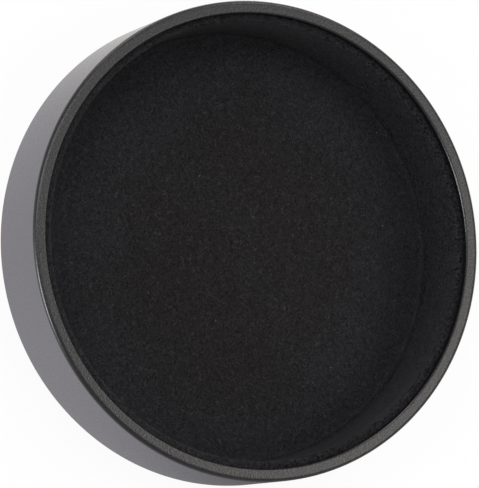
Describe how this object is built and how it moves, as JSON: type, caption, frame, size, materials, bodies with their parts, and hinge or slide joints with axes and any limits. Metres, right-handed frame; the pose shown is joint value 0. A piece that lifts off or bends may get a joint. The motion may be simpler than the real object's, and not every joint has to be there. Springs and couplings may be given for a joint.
{
  "type": "metal lens cap",
  "caption": "Round slip-on metal cap with a felt-lined bore and floor, which pushes over the front of a lens.",
  "frame": {"origin": "centre of the closed face's outer side, which lies on the floor", "axes": "+Z along the cap's axis, out of its open mouth; -Y towards the side where the felt band's ends meet"},
  "size_m": [0.0596, 0.0596, 0.0123],
  "materials": {
    "shell": "black satin anodised, turned",
    "felt": "black felt with a short raised nap"
  },
  "bodies": {
    "root": {"cap_shell": "shell", "felt_disc": "felt", "felt_band": "felt"}
  },
  "joints": []
}
